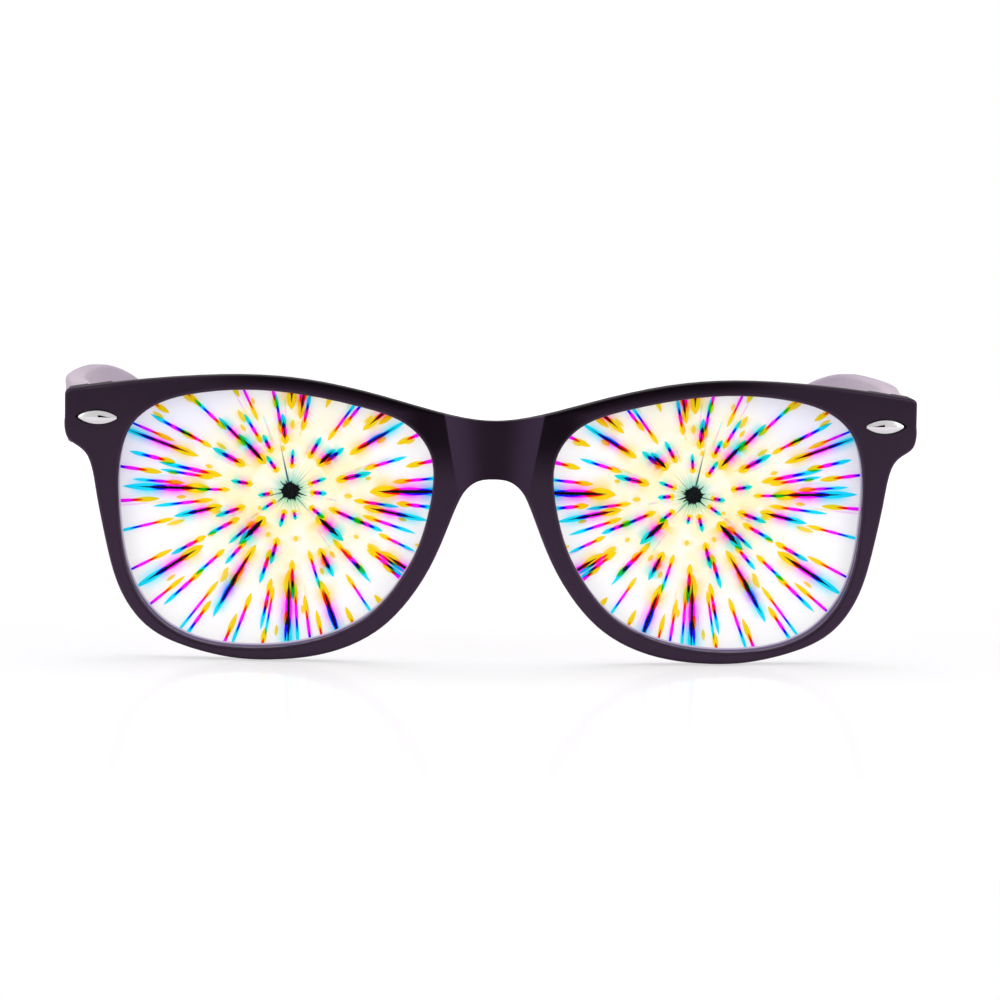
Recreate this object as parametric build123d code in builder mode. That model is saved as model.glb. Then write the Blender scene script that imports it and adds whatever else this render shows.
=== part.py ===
from build123d import *
import math
import os

os.makedirs("parts", exist_ok=True)

# Front, seen from the front: the sizes that set the whole outline
lens_width = 53.5
lens_height = 44.0
lens_gap = 20.5  # between the two lens openings, across the nose
rim_width = 3.0  # face width that the rim shares are measured in
rim_bottom = 2.0  # face width under the lens
rim_top = 2.45  # face width over the lens
end_width = 9.3  # from the lens opening to the outer end
bridge_height = 9.8  # brow to nose arch, on the centre line

# Front, seen from above
wrap_radius = 320.0
front_thickness = 4.2
butt_depth = 16.5  # foremost point to the face that the temple closes on
edge_round = 0.5
opening_round = 0.5

half_width = lens_gap / 2 + lens_width + end_width
front_height = rim_bottom + lens_height + rim_top
lens_centre_x = (lens_gap + lens_width) / 2
lens_centre_z = rim_bottom + lens_height / 2

# Lens opening, anticlockwise from the temple side: shares of its half width
# and half height, then the rim's face width there as a share of rim_width
opening_shares = [
    (1.000, 0.205, 1.30),
    (0.983, 0.491, 1.30),
    (0.905, 0.727, 1.00),
    (0.748, 0.877, 1.00),
    (0.505, 0.964, 1.00),
    (0.168, 1.000, 1.00),
    (-0.206, 0.964, 1.00),
    (-0.542, 0.882, 1.00),
    (-0.860, 0.723, 1.00),
    (-0.983, 0.514, 1.30),
    (-1.000, 0.295, 1.30),
    (-0.968, 0.045, 1.30),
    (-0.888, -0.255, 1.10),
    (-0.785, -0.473, 1.07),
    (-0.602, -0.727, 1.00),
    (-0.318, -0.911, 0.88),
    (0.000, -0.991, 0.71),
    (0.224, -0.998, 0.63),
    (0.497, -0.950, 0.52),
    (0.748, -0.784, 0.74),
    (0.897, -0.532, 0.83),
    (0.976, -0.164, 0.95),
]
first_nose_point = 11  # the rim runs free of the bridge from here on

# Brow line from the centre to the end: shares of half_width and front_height
brow_shares = [
    (0.000, 0.851),
    (0.123, 0.878),
    (0.246, 0.928),
    (0.370, 0.971),
    (0.479, 0.994),
    (0.582, 1.000),
    (0.684, 0.994),
    (0.821, 0.975),
    (0.987, 0.939),
]

# End piece below the brow: shares of its overhang past the rim, measured
# inward from the end, and of its height, measured down from the brow
end_height = 8.8
end_corner = 0.95
underside_shares = [
    (0.00, 0.55),
    (0.00, 0.79),
    (0.12, 0.98),
    (0.42, 1.11),
    (0.68, 1.25),
    (0.84, 1.46),
]

# Nose arch: shares of half lens_gap, and of bridge_height below the arch top
arch_shares = [(0.59, 0.43), (0.47, 0.205), (0.27, 0.04)]

# Scoop in the front of the bridge, a hollow round an almost upright axis
scoop_radius = 26.0
scoop_depth = 1.1
scoop_lean = 3.1  # degrees, deeper towards the brow

# Lens seat: lens and film lie in one groove behind the front lip
front_lip = 1.6
groove_depth = 0.9
lens_thickness = 1.05
film_thickness = 0.25
film_gap = 0.1  # lens to film
lens_clearance = 0.05  # all round in the groove
back_round = 0.4  # of the openings' edges at the back

# Nose pads, moulded on the back of the rims
pad_reach = 5.5  # behind the front's back face
pad_length = 11.5
pad_width = 3.0
pad_flare = 1.6  # the free end lies this much further from the nose
# Sections from root to end: shares of the pad's depth, length, width and flare
pad_shares = [(0.00, 1.00, 1.00, 0.0), (0.45, 0.78, 0.80, 0.3), (1.00, 0.62, 0.62, 1.0)]
pad_root_overlap = 0.8
pad_round = 0.7

# Eye-shaped metal inlay on each end piece
inlay_length = 6.75
inlay_width = 2.35
inlay_depth = 0.8  # below the front face
inlay_rise = 0.3  # above the face
inlay_dome_shares = [(1.0, 0.0), (0.9, 0.55), (0.62, 1.0)]  # of its outline, of its rise
inlay_gap = 0.22  # dark slot all round
inlay_x_share = 0.9255  # of half_width
inlay_drop = 4.75  # below the end piece's top

# Temples
temple_thickness = 3.5
temple_height = 9.7
temple_bend_height = 7.0
temple_drop = 0.1  # below the end piece's top
temple_fall = 0.85  # of the top edge, from the hinge end to the bend
temple_bend_depth = 94.0  # foremost point of the front to the start of the bend
temple_bend_radius = 48.0  # of the top edge
temple_bend_angle = 46.5
tip_radius = 4.3
temple_round = 0.8
butt_clearance = 0.12
temple_tuck = 15.0  # the ear end lies this much further in than the hinge end
# Temple seen from above: shares of its length, then of temple_tuck outward
temple_plan_shares = [
    (0.000, 0.000),
    (0.085, 0.004),
    (0.250, 0.160),
    (0.470, 0.167),
    (0.600, 0.020),
    (0.720, -0.400),
    (0.850, -0.700),
    (1.000, -1.000),
]
# Temple height along its bend, as shares of temple_bend_height
bend_height_shares = [(1.0, 1.08), (0.5, 1.02), (0.0, 1.00)]

# Hinge: three knuckles on an upright screw, leaves screwed to each side
hinge_drop = 4.8  # below the temple's top
knuckle_radius = 1.35
knuckle_height = 1.5
knuckle_clearance = 0.06
knuckle_count = 3
pin_radius = 0.6
pin_clearance = 0.04
pin_head_radius = 1.05
pin_head_height = 0.45
pin_slot = 0.3
leaf_thickness = 0.8
leaf_sink = 0.35  # the temple leaf lies this deep in the temple
leaf_length = 9.5
front_leaf_height = 8.6
front_leaf_margin = 0.35
leaf_clearance = 0.15
lug_inner_width = 4.3  # step beside the knuckles that carries the front leaf

# Leaf screws
screw_radius = 0.45
screw_head_radius = 0.8
screw_head_height = 0.4
screw_clearance = 0.02
front_screw_length = 3.2
temple_screw_shares = (0.26, 0.76)  # of leaf_length
temple_screw_length = 2.3
overrun = 2.0  # of cutting solids past what they cut


def turned(shift, degrees):
    """Turn a plane vector."""
    angle = math.radians(degrees)
    x, y = shift
    return (
        x * math.cos(angle) - y * math.sin(angle),
        x * math.sin(angle) + y * math.cos(angle),
    )


groove_width = lens_thickness + film_gap + film_thickness + 2 * lens_clearance

# Heights that the temples, the hinges and the inlays share
end_top = brow_shares[-1][1] * front_height
temple_top = end_top - temple_drop
hinge_z = temple_top - hinge_drop
inlay_z = end_top - inlay_drop

# Temple seen from the side: depth runs back from the front, height is up
temple_run = temple_bend_depth - butt_depth - butt_clearance
temple_slope = math.degrees(math.atan2(temple_fall, temple_run))
slope_direction = turned((1, 0), -temple_slope)
slope_normal = turned((0, 1), -temple_slope)
bend_centre_depth = temple_bend_depth - temple_bend_radius * slope_normal[0]
bend_centre_z = temple_top - temple_fall - temple_bend_radius * slope_normal[1]
tip_direction = turned((1, 0), -temple_bend_angle)
tip_normal = turned((0, 1), -temple_bend_angle)
bend_end_depth = bend_centre_depth + temple_bend_radius * tip_normal[0]
bend_end_z = bend_centre_z + temple_bend_radius * tip_normal[1]
tip_straight = (bend_end_z - tip_radius * (1 + tip_normal[1])) / -tip_direction[1]
tip_depth = bend_end_depth + tip_straight * tip_direction[0] - tip_radius * tip_normal[0]
total_depth = tip_depth + tip_radius
front_y = -total_depth / 2
butt_y = front_y + butt_depth


def face_y(x, depth=0):
    """Place of the front's curved face at x, or of a surface depth behind it."""
    radius = wrap_radius - depth
    return front_y + wrap_radius - math.sqrt(radius**2 - x**2)


def outset(points, distances):
    """Move each point of a closed outline outward, square to its neighbours."""
    moved = []
    for i, (x, z) in enumerate(points):
        before = points[i - 1]
        after = points[(i + 1) % len(points)]
        run, rise = after[0] - before[0], after[1] - before[1]
        length = math.hypot(run, rise)
        moved.append((x + rise / length * distances[i], z - run / length * distances[i]))
    return moved


def opening_points(grow=0):
    """Outline of the right lens opening, grown evenly."""
    points = [
        (lens_centre_x + sx * lens_width / 2, lens_centre_z + sz * lens_height / 2)
        for sx, sz, _ in opening_shares
    ]
    return outset(points, [grow] * len(points))


def lens_slab(grow, front_depth, back_depth):
    """Right lens outline, grown, between two depths behind the curved face."""
    side = lens_centre_x + lens_width
    with BuildPart() as slab:
        with BuildSketch(Plane.XY.offset(-overrun)):
            with BuildLine():
                near = ThreePointArc(
                    (0, face_y(0, front_depth)),
                    (side / 2, face_y(side / 2, front_depth)),
                    (side, face_y(side, front_depth)),
                )
                far = ThreePointArc(
                    (0, face_y(0, back_depth)),
                    (side / 2, face_y(side / 2, back_depth)),
                    (side, face_y(side, back_depth)),
                )
                Line(near @ 0, far @ 0)
                Line(near @ 1, far @ 1)
            make_face()
        extrude(amount=front_height + 2 * overrun)
        with BuildSketch(Plane.XZ.offset(overrun - front_y)):
            with BuildLine():
                Spline(*opening_points(grow), periodic=True)
            make_face()
        extrude(amount=-total_depth, mode=Mode.INTERSECT)
    return slab.part


def eye_outline(length, width):
    """Eye shape, two equal arcs meeting in points."""
    with BuildSketch() as eye:
        with BuildLine():
            for side in (1, -1):
                ThreePointArc((-length / 2, 0), (0, side * width / 2), (length / 2, 0))
        make_face()
    return eye.sketch


def screw(head_plane, head_radius, head_height, radius, length):
    """Slotted screw, its head's face on head_plane."""
    with BuildPart() as piece:
        with BuildSketch(head_plane):
            Circle(head_radius)
        extrude(amount=-head_height)
        with BuildSketch(head_plane.offset(-head_height)):
            Circle(radius)
        extrude(amount=head_height - length)
        with BuildSketch(head_plane):
            Rectangle(2 * head_radius, pin_slot)
        extrude(amount=-pin_slot, mode=Mode.SUBTRACT)
    return piece.part


def screw_hole(head_plane, head_radius, head_height, radius, length):
    """Room for such a screw."""
    with BuildPart() as room:
        with BuildSketch(head_plane):
            Circle(head_radius + screw_clearance)
        extrude(amount=-head_height)
        with BuildSketch(head_plane):
            Circle(radius + screw_clearance)
        extrude(amount=-length - screw_clearance)
    return room.part


rim_widths = [share * rim_width for _, _, share in opening_shares]
rim_points = outset(opening_points(), rim_widths)
rim_run = [rim_points[0]] + rim_points[:first_nose_point - 1:-1]
overhang = half_width - rim_points[0][0]
underside = [(half_width - sx * overhang, end_top - sz * end_height) for sx, sz in underside_shares]
arch_top = brow_shares[0][1] * front_height - bridge_height
arch = [(sx * lens_gap / 2, arch_top - sz * bridge_height) for sx, sz in arch_shares]
right_lower = underside + rim_run + arch
lower_line = right_lower + [(0, arch_top)] + [(-x, z) for x, z in reversed(right_lower)]
right_brow = [(sx * half_width, sz * front_height) for sx, sz in brow_shares]
brow_line = [(-x, z) for x, z in reversed(right_brow[1:])] + right_brow

# Hinge places shared by the front, the temples and the leaves
temple_inner_x = half_width - temple_thickness
pin_x = temple_inner_x - knuckle_radius - leaf_clearance
seat_y = butt_y - knuckle_radius - leaf_clearance - leaf_thickness
lug_x = half_width - temple_thickness - lug_inner_width
knuckle_pitch = knuckle_height + knuckle_clearance
hinge_bottom = hinge_z - (knuckle_count * knuckle_height + (knuckle_count - 1) * knuckle_clearance) / 2
hinge_top = 2 * hinge_z - hinge_bottom
recess_x = pin_x + knuckle_radius + leaf_clearance
front_screw_x = (lug_x + recess_x) / 2
front_screw_zs = [
    hinge_z + side * (front_leaf_height / 2 - screw_head_radius - leaf_clearance)
    for side in (1, -1)
]
leaf_face_x = temple_inner_x + leaf_sink - leaf_thickness
leaf_start_y = butt_y + knuckle_radius + leaf_clearance
temple_screw_ys = [
    leaf_start_y + share * leaf_length for share in temple_screw_shares
]

# Front: curved shell with a lug at each end, cut to the outline
cut_width = half_width + overrun
lug_root_y = face_y(lug_x, front_thickness / 2)
lug_bottom = temple_top - temple_height
right_lug_plan = [
    (lug_x, lug_root_y),
    (lug_x, seat_y),
    (recess_x, seat_y),
    (recess_x, butt_y),
    (cut_width, butt_y),
    (cut_width, lug_root_y),
]
scoop_plane = Plane(
    origin=(0, front_y - scoop_radius + scoop_depth, arch_top + bridge_height / 2),
    z_dir=(0, *turned((0, 1), -scoop_lean)),
)
with BuildPart() as frame_front:
    with BuildSketch(Plane.XY.offset(-overrun)):
        with BuildLine():
            face = ThreePointArc(
                (-cut_width, face_y(cut_width)), (0, front_y), (cut_width, face_y(cut_width))
            )
            back = ThreePointArc(
                (-cut_width, face_y(cut_width, front_thickness)),
                (0, front_y + front_thickness),
                (cut_width, face_y(cut_width, front_thickness)),
            )
            Line(face @ 0, back @ 0)
            Line(face @ 1, back @ 1)
        make_face()
    extrude(amount=front_height + 2 * overrun)
    with BuildSketch(Plane.XY.offset(lug_bottom)):
        Polygon(*right_lug_plan, align=None)
        mirror(about=Plane.YZ)
    extrude(amount=front_height)
    with BuildSketch(Plane.XZ.offset(overrun - front_y)):
        with BuildLine():
            brow = Spline(*brow_line)
            lower = Spline(*lower_line)
            for upper_end, lower_end, side in ((1, 0, 1), (0, 1, -1)):
                side_top = (side * half_width, end_top - end_corner)
                RadiusArc(brow @ upper_end, side_top, side * end_corner)
                Line(side_top, lower @ lower_end)
        make_face()
    extrude(amount=-total_depth, mode=Mode.INTERSECT)
    with BuildSketch(Plane.XZ.offset(overrun - front_y)):
        with BuildLine():
            Spline(*opening_points(), periodic=True)
        make_face()
        mirror(about=Plane.YZ)
    extrude(amount=-total_depth, mode=Mode.SUBTRACT)
    face_edges = frame_front.faces().filter_by(GeomType.CYLINDER).sort_by(SortBy.AREA)[-1].edges()
    openings = face_edges.filter_by(lambda edge: edge.is_closed)
    fillet(openings, radius=opening_round)
    fillet(face_edges.filter_by(lambda edge: not edge.is_closed), radius=edge_round)
    back_face = frame_front.faces().filter_by(GeomType.CYLINDER).filter_by(
        lambda face: face.center().Y > front_y + front_thickness / 2
    ).sort_by(SortBy.AREA)[-1]
    fillet(back_face.edges().filter_by(lambda edge: edge.is_closed), radius=back_round)
    with BuildSketch(scoop_plane):
        Circle(scoop_radius)
    extrude(amount=front_height, both=True, mode=Mode.SUBTRACT)

# Grooves for the lenses and films, cut behind the front lip
lens_depth = front_lip + lens_clearance
film_depth = lens_depth + lens_thickness + film_gap
right_groove = lens_slab(groove_depth, front_lip, front_lip + groove_width)

# Nose pad: tapers from the rim's back to a smaller, rounded end
low_mid, high_mid = [
    tuple((inner + outer) / 2 for inner, outer in zip(opening_points()[i], rim_points[i]))
    for i in (first_nose_point + 1, first_nose_point)
]
pad_x, pad_z = [(low + high) / 2 for low, high in zip(low_mid, high_mid)]
pad_along = (high_mid[0] - low_mid[0], 0, high_mid[1] - low_mid[1])
pad_root_y = face_y(pad_x, front_thickness) - pad_root_overlap
pad_depth = pad_reach + pad_root_overlap
with BuildPart() as right_pad:
    for depth_share, length_share, width_share, flare_share in pad_shares:
        pad_place = (pad_x + flare_share * pad_flare, pad_root_y + depth_share * pad_depth, pad_z)
        with BuildSketch(Plane(pad_place, x_dir=pad_along, z_dir=(0, 1, 0))):
            SlotOverall(length_share * pad_length, width_share * pad_width)
    loft()
    fillet(right_pad.faces().sort_by(Axis.Y)[-1].edges(), radius=pad_round)

# Inlay: eye-shaped stud with a low dome, let into the end piece
inlay_x = inlay_x_share * half_width
inlay_turn = inlay_x / wrap_radius
inlay_plane = Plane(
    origin=(inlay_x, face_y(inlay_x), inlay_z),
    x_dir=(math.sqrt(1 - inlay_turn**2), inlay_turn, 0),
    z_dir=(inlay_turn, -math.sqrt(1 - inlay_turn**2), 0),
)
with BuildPart() as right_inlay:
    with BuildSketch(inlay_plane.offset(-inlay_depth)):
        add(eye_outline(inlay_length, inlay_width))
    extrude(amount=inlay_depth)
    for size_share, rise_share in inlay_dome_shares:
        with BuildSketch(inlay_plane.offset(rise_share * inlay_rise)):
            add(eye_outline(size_share * inlay_length, size_share * inlay_width))
    loft(ruled=True)
with BuildPart() as right_pocket:
    with BuildSketch(inlay_plane.offset(-inlay_depth)):
        add(eye_outline(inlay_length + 4 * inlay_gap, inlay_width + 2 * inlay_gap))
    extrude(amount=inlay_depth + overrun)

# Screws that hold the front leaf on the lug
front_screw_planes = [
    Plane(origin=(front_screw_x, seat_y + leaf_thickness, z), x_dir=(1, 0, 0), z_dir=(0, 1, 0))
    for z in front_screw_zs
]
screw_sizes = (screw_head_radius, screw_head_height, screw_radius)
front_screws = [screw(plane, *screw_sizes, front_screw_length) for plane in front_screw_planes]
front_screw_holes = [
    screw_hole(plane, *screw_sizes, front_screw_length) for plane in front_screw_planes
]

with frame_front:
    for tool in [right_groove, right_pocket.part] + front_screw_holes:
        add(tool, mode=Mode.SUBTRACT)
        add(tool.mirror(Plane.YZ), mode=Mode.SUBTRACT)
    add(right_pad.part)
    add(right_pad.part.mirror(Plane.YZ))

# Front leaf: plate on the lug with the two outer knuckles
with BuildPart() as right_front_leaf:
    with BuildSketch(Plane.XZ.offset(-seat_y)):
        with Locations((front_screw_x, hinge_z)):
            RectangleRounded(
                recess_x - lug_x - 2 * front_leaf_margin, front_leaf_height, front_leaf_margin
            )
    extrude(amount=-leaf_thickness)
    for knuckle in range(0, knuckle_count, 2):
        with BuildSketch(Plane.XY.offset(hinge_bottom + knuckle * knuckle_pitch)):
            with Locations((pin_x, butt_y)):
                Circle(knuckle_radius)
            with Locations((pin_x, (seat_y + butt_y) / 2)):
                Rectangle(2 * knuckle_radius, butt_y - seat_y)
        extrude(amount=knuckle_height)
    with BuildSketch(Plane.XY.offset(hinge_bottom)):
        with Locations((pin_x, butt_y)):
            Circle(pin_radius + pin_clearance)
    extrude(amount=hinge_top - hinge_bottom, mode=Mode.SUBTRACT)
    for tool in front_screw_holes:
        add(tool, mode=Mode.SUBTRACT)

# Temple leaf: plate sunk in the temple with the middle knuckle
leaf_back_x = leaf_face_x + leaf_thickness
leaf_height = hinge_top - hinge_bottom
tongue_length = leaf_start_y + leaf_thickness - butt_y - butt_clearance
with BuildPart() as right_temple_leaf:
    with BuildSketch(Plane.YZ.offset(leaf_face_x)):
        with Locations((leaf_start_y + leaf_length / 2, hinge_z)):
            RectangleRounded(leaf_length, leaf_height, leaf_thickness)
    extrude(amount=leaf_thickness)
    with BuildSketch(Plane.XY.offset(hinge_bottom + knuckle_pitch)):
        with Locations((pin_x, butt_y)):
            Circle(knuckle_radius)
        with Locations(
            ((pin_x + leaf_back_x) / 2, butt_y + butt_clearance + tongue_length / 2)
        ):
            Rectangle(leaf_back_x - pin_x, tongue_length)
    extrude(amount=knuckle_height)
    with BuildSketch(Plane.XY.offset(hinge_bottom)):
        with Locations((pin_x, butt_y)):
            Circle(pin_radius + pin_clearance)
    extrude(amount=leaf_height, mode=Mode.SUBTRACT)

temple_screw_planes = [
    Plane(origin=(leaf_face_x, y, hinge_z), x_dir=(0, 1, 0), z_dir=(-1, 0, 0))
    for y in temple_screw_ys
]
temple_screws = [screw(plane, *screw_sizes, temple_screw_length) for plane in temple_screw_planes]
temple_screw_holes = [
    screw_hole(plane, *screw_sizes, temple_screw_length) for plane in temple_screw_planes
]
with right_temple_leaf:
    for tool in temple_screw_holes:
        add(tool, mode=Mode.SUBTRACT)

# Hinge screw
right_hinge_screw = screw(
    Plane(origin=(pin_x, butt_y, hinge_top + pin_head_height)),
    pin_head_radius,
    pin_head_height,
    pin_radius,
    leaf_height + pin_head_height,
)

# Temple: side outline through a slab that follows its curve seen from above
start_y = butt_y + butt_clearance
bend_y = front_y + temple_bend_depth
tip_centre = (front_y + tip_depth, tip_radius)
tip_top = (tip_centre[0] + tip_radius * tip_normal[0], tip_centre[1] + tip_radius * tip_normal[1])
tip_end = (
    tip_centre[0] + tip_radius * tip_direction[0],
    tip_centre[1] + tip_radius * tip_direction[1],
)
tip_under = (tip_centre[0] - tip_radius * tip_normal[0], tip_centre[1] - tip_radius * tip_normal[1])
under_line = [tip_under]
for turn_share, height_share in bend_height_shares:
    turn = temple_slope + turn_share * (temple_bend_angle - temple_slope)
    run, rise = turned((0, temple_bend_radius - height_share * temple_bend_height), -turn)
    under_line.append((front_y + bend_centre_depth + run, bend_centre_z + rise))
under_line += [
    (
        (start_y + bend_y) / 2,
        temple_top - (temple_fall + temple_height + temple_bend_height) / 2,
    ),
    (start_y, temple_top - temple_height),
]
end_y = front_y + total_depth + overrun
plan_line = [
    (half_width + tuck_share * temple_tuck, start_y + run_share * (end_y - start_y))
    for run_share, tuck_share in temple_plan_shares
]
with BuildPart() as right_temple:
    with BuildSketch(Plane.YZ):
        with BuildLine():
            top = Line((start_y, temple_top), (bend_y, temple_top - temple_fall))
            bend = JernArc(
                top @ 1, slope_direction, temple_bend_radius, temple_slope - temple_bend_angle
            )
            Line(bend @ 1, tip_top)
            ThreePointArc(tip_top, tip_end, tip_under)
            Spline(*under_line, tangents=[turned((-1, 0), -temple_bend_angle), (-1, 0)])
            Line(under_line[-1], top @ 0)
        make_face()
    extrude(amount=half_width + temple_tuck)
    with BuildSketch(Plane.XY.offset(-overrun)):
        with BuildLine():
            outer = Spline(*plan_line)
            inner = Spline(*[(x - temple_thickness, y) for x, y in plan_line])
            Line(outer @ 1, inner @ 1)
            Polyline(
                outer @ 0,
                (half_width, start_y - overrun),
                (temple_inner_x, start_y - overrun),
                inner @ 0,
            )
        make_face()
    extrude(amount=temple_top + 2 * overrun, mode=Mode.INTERSECT)
    sides = right_temple.faces().sort_by(SortBy.AREA)[-2:]
    rims = sides[0].edges() + sides[1].edges()
    fillet(
        rims.filter_by(lambda edge: edge.bounding_box().max.Y > start_y + temple_round),
        radius=temple_round,
    )
    with BuildSketch(Plane.YZ.offset(leaf_back_x)):
        with Locations(((start_y - overrun + leaf_start_y + leaf_length + leaf_clearance) / 2, hinge_z)):
            Rectangle(
                leaf_start_y + leaf_length + leaf_clearance - start_y + overrun,
                leaf_height + 2 * leaf_clearance,
            )
    extrude(amount=-leaf_thickness - overrun, mode=Mode.SUBTRACT)
    for tool in temple_screw_holes:
        add(tool, mode=Mode.SUBTRACT)

frame_front.part.label = "frame_front"
export_step(frame_front.part, "parts/frame_front.step")

right_pieces = {
    "lens": lens_slab(groove_depth - lens_clearance, lens_depth, lens_depth + lens_thickness),
    "grating_film": lens_slab(
        groove_depth - lens_clearance, film_depth, film_depth + film_thickness
    ),
    "inlay": right_inlay.part,
    "temple": right_temple.part,
    "front_hinge_leaf": right_front_leaf.part,
    "temple_hinge_leaf": right_temple_leaf.part,
    "hinge_screw": right_hinge_screw,
    "front_leaf_screw_upper": front_screws[0],
    "front_leaf_screw_lower": front_screws[1],
    "temple_leaf_screw_near": temple_screws[0],
    "temple_leaf_screw_far": temple_screws[1],
}
for name, piece in right_pieces.items():
    with BuildPart() as right_piece:
        add(piece)
    right_piece.part.label = f"right_{name}"
    export_step(right_piece.part, f"parts/right_{name}.step")
    with BuildPart() as left_piece:
        add(piece.mirror(Plane.YZ))
    left_piece.part.label = f"left_{name}"
    export_step(left_piece.part, f"parts/left_{name}.step")
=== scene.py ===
import math

import bmesh
import bpy
import numpy as np
from mathutils import Matrix, Vector


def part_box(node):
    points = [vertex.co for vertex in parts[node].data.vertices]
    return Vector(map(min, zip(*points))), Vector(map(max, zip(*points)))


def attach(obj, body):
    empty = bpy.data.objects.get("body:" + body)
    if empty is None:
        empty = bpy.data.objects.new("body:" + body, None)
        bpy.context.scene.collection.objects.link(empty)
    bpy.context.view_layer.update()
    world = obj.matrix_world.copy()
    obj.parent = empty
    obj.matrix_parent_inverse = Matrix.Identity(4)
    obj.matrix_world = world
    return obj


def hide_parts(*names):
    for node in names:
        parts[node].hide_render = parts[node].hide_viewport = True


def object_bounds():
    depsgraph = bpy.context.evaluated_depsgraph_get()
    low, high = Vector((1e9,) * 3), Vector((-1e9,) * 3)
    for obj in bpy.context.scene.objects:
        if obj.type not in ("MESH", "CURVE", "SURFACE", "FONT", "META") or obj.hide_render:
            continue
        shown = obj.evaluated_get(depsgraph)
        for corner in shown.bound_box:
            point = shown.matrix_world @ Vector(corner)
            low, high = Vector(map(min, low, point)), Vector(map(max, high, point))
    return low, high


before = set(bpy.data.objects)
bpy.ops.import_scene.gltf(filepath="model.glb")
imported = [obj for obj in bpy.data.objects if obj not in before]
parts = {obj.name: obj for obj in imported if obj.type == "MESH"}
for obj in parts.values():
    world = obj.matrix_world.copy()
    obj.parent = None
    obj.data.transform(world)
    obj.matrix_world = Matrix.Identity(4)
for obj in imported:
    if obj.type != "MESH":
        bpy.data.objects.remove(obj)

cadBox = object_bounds()
sides = {"left": -1, "right": 1}  # as seen from the front
print("frame loaded:", len(parts), "pieces")

# Camera: the photograph's view, with angles in degrees and places in pixels of its frame
cameraView = {
    "azimuth": -2.43,
    "elevation": 5.54,
    "roll": 0.89,
    "distance": 0.7,
    "targetHeight": 0.024,
    "focalPixels": 4127,
    "targetPixel": (493.1, 523.7),
    "framePixels": 1000,
    "sensorWidth": 36,
    "clip": (0.07, 70),
}


def makeCamera():
    view = cameraView
    angles = ("azimuth", "elevation", "roll")
    azimuth, elevation, roll = (math.radians(view[angle]) for angle in angles)
    back = Vector((
        math.sin(azimuth) * math.cos(elevation),
        -math.cos(azimuth) * math.cos(elevation),
        math.sin(elevation),
    ))
    right = Vector((math.cos(azimuth), math.sin(azimuth), 0))
    turn = Matrix.Rotation(roll, 3, back)
    right = turn @ right
    up = back.cross(right)
    target = Vector((0, cadBox[0][1], view["targetHeight"]))
    place = Matrix((right, up, back)).transposed().to_4x4()
    place.translation = target + view["distance"] * back
    camera = bpy.data.objects.new("camera", bpy.data.cameras.new("camera"))
    bpy.context.collection.objects.link(camera)
    camera.matrix_world = place
    camera.data.sensor_width = view["sensorWidth"]
    camera.data.lens = view["focalPixels"] / view["framePixels"] * view["sensorWidth"]
    middle = view["framePixels"] / 2
    camera.data.shift_x = (middle - view["targetPixel"][0]) / view["framePixels"]
    camera.data.shift_y = (view["targetPixel"][1] - middle) / view["framePixels"]
    camera.data.clip_start, camera.data.clip_end = view["clip"]
    bpy.context.scene.camera = camera


makeCamera()
bpy.context.scene.view_settings.view_transform = "Standard"
print("camera placed")


# Node helpers: a value is a number, a colour or another node's output
def setInput(tree, socket, value):
    if isinstance(value, bpy.types.NodeSocket):
        tree.links.new(value, socket)
    else:
        socket.default_value = value


def addNode(tree, kind, inputs=None, **settings):
    node = tree.nodes.new(kind)
    for name, value in settings.items():
        setattr(node, name, value)
    for name, value in (inputs or {}).items():
        setInput(tree, node.inputs[name], value)
    return node


def calc(tree, operation, *values, clamp=False):
    node = addNode(tree, "ShaderNodeMath", operation=operation, use_clamp=clamp)
    for socket, value in zip(node.inputs, values):
        setInput(tree, socket, value)
    return node.outputs[0]


def mixColours(tree, share, first, second, blend="MIX"):
    # Its sockets share their names between kinds of data, so the colour ones go by number
    node = addNode(tree, "ShaderNodeMix", data_type="RGBA", blend_type=blend)
    for index, value in ((0, share), (6, first), (7, second)):
        setInput(tree, node.inputs[index], value)
    return node.outputs[2]


def remap(tree, value, low, high, newLow=0.0, newHigh=1.0):
    # A smooth step, from newLow at low to newHigh at high
    node = addNode(tree, "ShaderNodeMapRange", {
        "Value": value, "From Min": low, "From Max": high, "To Min": newLow, "To Max": newHigh,
    }, interpolation_type="SMOOTHSTEP")
    return node.outputs["Result"]


def newGroup(name, inputs, outputs):
    tree = bpy.data.node_groups.new(name, "ShaderNodeTree")
    for title, kind, value in inputs:
        socket = tree.interface.new_socket(name=title, in_out="INPUT", socket_type=kind)
        socket.default_value = value
    for title, kind in outputs:
        tree.interface.new_socket(name=title, in_out="OUTPUT", socket_type=kind)
    start = tree.nodes.new("NodeGroupInput")
    end = tree.nodes.new("NodeGroupOutput")
    return tree, start.outputs, end.inputs


def placeGroup(tree, group, inputs):
    node = addNode(tree, "ShaderNodeGroup", node_tree=group)
    for name, value in inputs.items():
        setInput(tree, node.inputs[name], value)
    return node.outputs


def newMaterial(name, **settings):
    material = bpy.data.materials.new(name)
    material.use_nodes = True
    tree = material.node_tree
    shader = tree.nodes["Principled BSDF"]
    for title, value in settings.items():
        shader.inputs[title.replace("_", " ")].default_value = value
    return material, tree, shader


def objectPoint(tree):
    return addNode(tree, "ShaderNodeTexCoord").outputs["Object"]


def objectAxes(tree):
    return addNode(tree, "ShaderNodeSeparateXYZ", {"Vector": objectPoint(tree)}).outputs


def noise(tree, point, scale, detail):
    return addNode(tree, "ShaderNodeTexNoise", {
        "Vector": point, "Scale": scale, "Detail": detail}).outputs["Fac"]


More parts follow.
